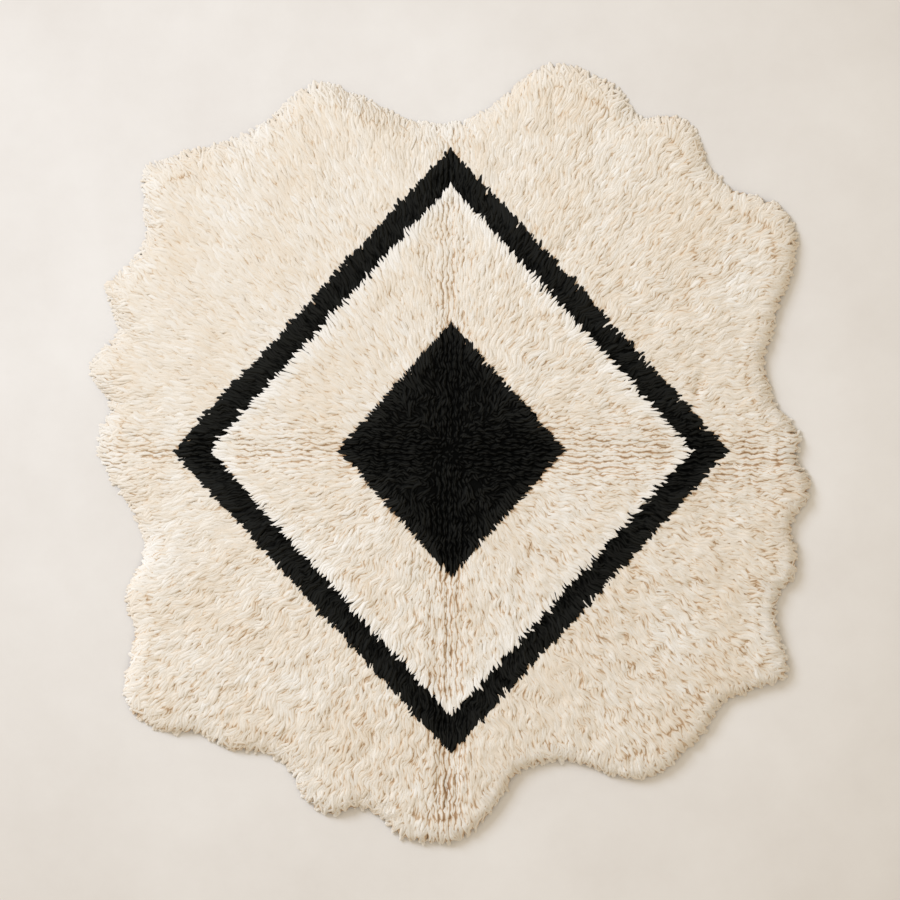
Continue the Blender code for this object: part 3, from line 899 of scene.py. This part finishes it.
def soften(mesh, corners, softness):
    """Leans the shading from each lock's form to the whole pile's, but not on the faces below."""
    normals = np.empty(len(mesh.vertices) * 3, np.float32)
    mesh.vertex_normals.foreach_get("vector", normals)
    leaned = normals.reshape(-1, 3) * (1.0 - softness)
    leaned += softness * surface_normals(corners[:, 0], corners[:, 1])
    leaned /= np.linalg.norm(leaned, axis=1, keepdims=True)
    loops = np.empty(len(mesh.loops), np.int32)
    mesh.loops.foreach_get("vertex_index", loops)
    totals = np.empty(len(mesh.polygons), np.int32)
    mesh.polygons.foreach_get("loop_total", totals)
    flat = np.empty(len(mesh.polygons) * 3, np.float32)
    mesh.polygons.foreach_get("normal", flat)
    flat = np.repeat(flat.reshape(-1, 3), totals, axis=0)
    normals = np.where(flat[:, 2:] < DOWNWARD, flat, leaned[loops])
    mesh.normals_split_custom_set(normals.tolist())


def new_object(name, mesh, material):
    piece = bpy.data.objects.new(name, mesh)
    bpy.context.scene.collection.objects.link(piece)
    mesh.materials.append(material)
    return piece


class Nodes:
    """A material's nodes, made one after another."""

    def __init__(self, name):
        self.material = bpy.data.materials.new(name)
        self.material.use_nodes = True
        self.tree = self.material.node_tree
        self.shader = self.tree.nodes["Principled BSDF"]

    def add(self, kind, inputs=(), **settings):
        node = self.tree.nodes.new(kind)
        for key, value in settings.items():
            setattr(node, key, value)
        for key, value in dict(inputs).items():
            self.feed(node.inputs[key], value)
        return node

    def feed(self, socket, value):
        if isinstance(value, bpy.types.NodeSocket):
            self.tree.links.new(value, socket)
        else:
            socket.default_value = value

    def maths(self, operation, first, second=0.0):
        node = self.add("ShaderNodeMath", {0: first, 1: second}, operation=operation)
        return node.outputs[0]

    def noise(self, where, inputs, **settings):
        node = self.add("ShaderNodeTexNoise", {"Vector": where, **inputs}, **settings)
        return node.outputs["Fac"]

    def mixed(self, blend, share, first, second):
        """Two colours mixed. A Mix node has its colours at 6 and 7, and their mixture at 2."""
        node = self.add("ShaderNodeMix", data_type="RGBA", blend_type=blend)
        self.feed(node.inputs[0], share)
        self.feed(node.inputs[6], first)
        self.feed(node.inputs[7], second)
        return node.outputs[2]

    def ramp(self, value, stops):
        node = self.add("ShaderNodeValToRGB", {"Fac": value})
        points = node.color_ramp.elements
        stops = list(stops)
        for place, _ in stops[len(points):]:
            points.new(place)
        for point, (place, colour) in zip(points, stops):
            point.position = place
            point.color = (*colour, 1.0)
        return node.outputs["Color"]

    def relief(self, height, strength, distance):
        """Gives the surface a fine relief."""
        sizes = {"Height": height, "Strength": strength, "Distance": distance}
        self.shade({"Normal": self.add("ShaderNodeBump", sizes).outputs["Normal"]})

    def shade(self, inputs):
        for key, value in inputs.items():
            self.feed(self.shader.inputs[key], value)


# The wool's fibres: how many run in a strip of the map, and how often they change along it.
FIBRES = (7.0, 3.0)
FIBRE_NOISE = {"Scale": 1.0, "Detail": 3.0, "Roughness": 0.6}
FIBRE_LIGHT = (0.25, 0.75)  # the noise's values at which they are darkest and palest
FIBRE_RELIEF = (0.5, 0.0010)  # strength and height


def wool(name, tones, depth_shade, fleck, shine, sheen):
    """Wool: a tone for each strip of the map, darker with depth as painted shade, partly its darker
    roots, with fine fibres lengthwise.

    The darkest fibres have the share `fleck` of its colour.
    """
    nodes = Nodes(name)
    uv = nodes.add("ShaderNodeUVMap", uv_map="OFBake").outputs["UV"]
    parts = nodes.add("ShaderNodeSeparateXYZ", {"Vector": uv})
    u, v = parts.outputs["X"], parts.outputs["Y"]
    scale = (STRIPS * FIBRES[0], FIBRES[1], 1.0)
    fibres = nodes.add("ShaderNodeMapping", {"Vector": uv, "Scale": scale}).outputs["Vector"]
    noise = nodes.noise(fibres, FIBRE_NOISE, noise_dimensions="2D")
    # the tone, times the painted shade of depth
    base = nodes.mixed("MULTIPLY", 1.0, nodes.ramp(u, tones), nodes.ramp(v, depth_shade))
    light = nodes.ramp(noise, zip(FIBRE_LIGHT, ((fleck,) * 3, WHITE)))
    nodes.shade({
        "Base Color": nodes.mixed("MULTIPLY", 1.0, base, light),
        "Roughness": 0.92,
        "Specular IOR Level": shine,
        "Sheen Weight": sheen,
        "Sheen Roughness": 0.6,
    })
    nodes.relief(noise, *FIBRE_RELIEF)
    return nodes.material


# The colours of the wool: by tone, and what painted shade leaves of them by depth in the map, partly
# the wool's own darker roots.
IVORY_TONES = (
    (0.00, (0.955, 0.912, 0.840)),
    (0.40, (0.900, 0.817, 0.700)),
    (0.75, (0.875, 0.760, 0.615)),
    (1.00, (0.840, 0.695, 0.530)),
)
# painted shade: what is left of the ivory with depth, partly its darker roots
IVORY_DEPTH_SHADE = (
    (0.02, WHITE),
    (0.10, (0.985, 0.975, 0.955)),
    (0.15, (0.935, 0.890, 0.83)),
    (0.20, (0.80, 0.68, 0.55)),
    (0.25, (0.64, 0.48, 0.34)),
    (0.34, (0.50, 0.34, 0.22)),
    (0.90, (0.44, 0.30, 0.20)),
)
BLACK_TONES = (
    (0.00, (0.0230, 0.0230, 0.0204)),
    (0.60, (0.0161, 0.0161, 0.0143)),
    (1.00, (0.0102, 0.0102, 0.0090)),
)
# painted shade: what is left of the black with depth
BLACK_DEPTH_SHADE = (
    (0.02, WHITE),
    (0.08, (0.62,) * 3),
    (0.14, (0.30,) * 3),
    (0.22, (0.12,) * 3),
)


# The floor's mottle: the shares of a broad noise and of a fine one. It is darker far from the rug:
# painted shade, as the light falls off there.
MOTTLE = (
    (0.7, {"Scale": 2.2, "Detail": 4.0}),
    (0.3, {"Scale": 11.0, "Detail": 6.0, "Roughness": 0.65}),
)
MOTTLE_COLOURS = ((0.35, (0.795, 0.757, 0.710)), (0.65, (0.860, 0.829, 0.787)))
FALLOFF_SHADE_RATE = 0.5  # by the metre
# painted shade: the floor darkens away from the rug as the light falls off
FALLOFF_SHADE_COLOURS = ((0.40, WHITE), (0.66, (0.918, 0.905, 0.888)))


def plaster():
    """The pale floor, faintly mottled, with painted shade far from the rug."""
    nodes = Nodes("floor_plaster")
    where = nodes.add("ShaderNodeTexCoord").outputs["Object"]
    layers = []
    for share, settings in MOTTLE:
        layers.append(nodes.maths("MULTIPLY", nodes.noise(where, settings), share))
    colour = nodes.ramp(nodes.maths("ADD", *layers), MOTTLE_COLOURS)
    away = nodes.add("ShaderNodeVectorMath", {0: where}, operation="LENGTH").outputs["Value"]
    # painted shade, darker far from the rug
    falloff_shade = nodes.ramp(nodes.maths("MULTIPLY", away, FALLOFF_SHADE_RATE), FALLOFF_SHADE_COLOURS)
    nodes.shade({
        "Base Color": nodes.mixed("MULTIPLY", 1.0, colour, falloff_shade),
        "Roughness": 0.8,
        "Specular IOR Level": 0.2,
    })
    return nodes.material


# The ground's weave: its rows of knots and the knots of a row, by their pitch, and the share of
# each in its relief.
KNOT_ROWS = (0.006, 0.6)
ROW_KNOTS = (0.005, 0.4)
WEAVE_NOISE = {"Scale": 160.0, "Detail": 2.0}
WEAVE_FRAY = 0.03  # of a lozenge's size, how unevenly its black shows through
WEAVE_PALE = ((0.3, (0.60, 0.51, 0.39)), (0.7, (0.74, 0.66, 0.54)))
WEAVE_DARK = ((0.3, (0.010, 0.010, 0.009)), (0.7, (0.022, 0.021, 0.020)))
# painted shade: the weave's colour darkens in its grooves
WEAVE_GROOVE_SHADE = ((0.0, (0.55,) * 3), (0.5, WHITE))
WEAVE_RELIEF = (0.7, 0.0012)


def weave():
    """The ground seen from below: rows of knots, black where the pile above is black, with painted
    shade in the grooves between them.
    """
    nodes = Nodes("ground_weave")
    where = nodes.add("ShaderNodeTexCoord").outputs["Object"]
    parts = nodes.add("ShaderNodeSeparateXYZ", {"Vector": where})
    x, y = parts.outputs["X"], parts.outputs["Y"]
    waves = []
    for place, (pitch, share) in ((y, KNOT_ROWS), (x, ROW_KNOTS)):
        wave = nodes.maths("SINE", nodes.maths("MULTIPLY", place, TURN / pitch))
        waves.append(nodes.maths("MULTIPLY", wave, share))
    relief = nodes.maths("ADD", *waves)
    stray = nodes.noise(where, WEAVE_NOISE)
    fray = nodes.maths("MULTIPLY", stray, WEAVE_FRAY)
    black = None
    for lozenge in reversed(LOZENGES):
        beside_x = nodes.maths("ABSOLUTE", nodes.maths("SUBTRACT", x, lozenge.x))
        beside_y = nodes.maths("ABSOLUTE", nodes.maths("SUBTRACT", y, lozenge.y))
        reach_x = nodes.maths("DIVIDE", beside_x, lozenge.half_width)
        reach_y = nodes.maths("DIVIDE", beside_y, lozenge.half_height)
        total = nodes.maths("ADD", reach_x, reach_y)
        inside = nodes.maths("LESS_THAN", nodes.maths("ADD", total, fray), 1.0)
        black = nodes.maths("SUBTRACT", inside, black) if black else inside
    pale, dark = nodes.ramp(stray, WEAVE_PALE), nodes.ramp(stray, WEAVE_DARK)
    knotted = nodes.mixed("MIX", nodes.maths("ABSOLUTE", black), pale, dark)
    # the knots' colour, with painted shade in the weave's grooves
    nodes.shade({
        "Base Color": nodes.mixed("MULTIPLY", 1.0, knotted, nodes.ramp(relief, WEAVE_GROOVE_SHADE)),
        "Roughness": 0.95,
        "Specular IOR Level": 0.15,
    })
    nodes.relief(relief, *WEAVE_RELIEF)
    return nodes.material


def ground_mesh():
    """The woven ground: a thin closed sheet in the rim's outline."""
    bearing = np.linspace(0.0, TURN, GROUND_STEPS, endpoint=False)
    rim = even_reach(bearing) - GROUND_INSET
    corners = []
    for height in (GROUND_THICKNESS, 0.0):
        corners.append([[0.0, 0.0, height]])
        for ring in range(1, GROUND_RINGS + 1):
            far = rim * ring / GROUND_RINGS
            corners.append(np.stack([*polar(far, bearing), np.full_like(far, height)], -1))
    corners = np.concatenate(corners)
    step = np.arange(GROUND_STEPS)
    after = (step + 1) % GROUND_STEPS
    shift = 1 + GROUND_RINGS * GROUND_STEPS
    fan = np.stack([np.zeros_like(step), 1 + step, 1 + after], -1)
    ends = np.concatenate([fan, fan[:, [0, 2, 1]] + shift])
    quads = []
    for ring in range(GROUND_RINGS - 1):
        inner, outer = 1 + ring * GROUND_STEPS, 1 + (ring + 1) * GROUND_STEPS
        face = np.stack([inner + step, outer + step, outer + after, inner + after], -1)
        quads.append(face)
        quads.append(face[:, ::-1] + shift)
    outer = 1 + (GROUND_RINGS - 1) * GROUND_STEPS
    first, second = outer + step, outer + after
    quads.append(np.stack([first, first + shift, second + shift, second], -1))
    low = corners[:, :2].min(0)
    places = (corners[:, :2] - low) / np.ptp(corners[:, :2], axis=0).max()
    x, y = polar(rim, bearing)
    area = 0.5 * abs(np.sum(x * np.roll(y, -1) - np.roll(x, -1) * y))
    size = np.ptp(corners, axis=0)[:2]
    return make_mesh("ground_weave", corners, places, np.concatenate(quads), ends), size, area


def make_pile():
    """Every piece of the pile, each with its bed."""
    ivory = wool("ivory_wool", IVORY_TONES, IVORY_DEPTH_SHADE, fleck=0.90, shine=0.15, sheen=0.10)
    black = wool("black_wool", BLACK_TONES, BLACK_DEPTH_SHADE, fleck=0.70, shine=0.03, sheen=0.0)
    locks = grow_locks()
    cells = bed_cells()
    made = []
    for number, name in enumerate(REGIONS):
        corners, places, quads, ends = lock_mesh(locks, locks.region == number)
        bed_corners, bed_places, bed_quads = bed_mesh(cells, number)
        quads = np.concatenate([quads, bed_quads + len(corners)])
        corners = np.concatenate([corners, bed_corners])
        places = np.concatenate([places, bed_places])
        mesh = make_mesh(name, corners, places, quads, ends)
        is_black = number in (IN_BORDER, IN_CENTRE)
        soften(mesh, corners, BLACK_SOFTNESS if is_black else IVORY_SOFTNESS)
        piece = new_object(name, mesh, black if is_black else ivory)
        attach(piece, "root")
        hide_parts("rug")
        made.append(piece)
    return made


def make_ground():
    mesh, size, area = ground_mesh()
    ground = new_object("ground_weave", mesh, weave())
    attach(ground, "root")
    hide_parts("rug")


# ---- floor, light and camera


def make_floor():
    turns = ((-1, -1), (1, -1), (1, 1), (-1, 1))
    corners = [(x * FLOOR_HALF, y * FLOOR_HALF, FLOOR_HEIGHT) for x, y in turns]
    mesh = bpy.data.meshes.new("floor")
    mesh.from_pydata(corners, [], [(0, 1, 2, 3)])
    floor = new_object("floor", mesh, plaster())


def make_light():
    world = bpy.data.worlds.new("studio")
    bpy.context.scene.world = world
    world.use_nodes = True
    background = world.node_tree.nodes["Background"]
    background.inputs["Color"].default_value = SKY_COLOUR
    background.inputs["Strength"].default_value = SKY_STRENGTH
    lamp = bpy.data.lights.new("window", "AREA")
    lamp.shape = "RECTANGLE"
    lamp.size, lamp.size_y = LAMP_SIZE
    lamp.energy = LAMP_ENERGY
    lamp.color = LAMP_COLOUR
    window = bpy.data.objects.new("window", lamp)
    bpy.context.scene.collection.objects.link(window)
    window.location = LAMP_PLACE
    aim = -window.location
    window.rotation_euler = aim.to_track_quat("-Z", "Y").to_euler()


def make_camera():
    lens = bpy.data.cameras.new("camera")
    lens.lens = LENS
    lens.sensor_width = SENSOR
    camera = bpy.data.objects.new("camera", lens)
    bpy.context.scene.collection.objects.link(camera)
    height = SIGHT_HEIGHT + FRAME_WIDTH * LENS / SENSOR
    camera.location = (*FRAME_CENTRE, height)
    bpy.context.scene.camera = camera


def set_colours():
    view = bpy.context.scene.view_settings
    view.view_transform = "Standard"
    view.look = "None"


pile = make_pile()
make_ground()
make_floor()
make_light()
make_camera()
set_colours()
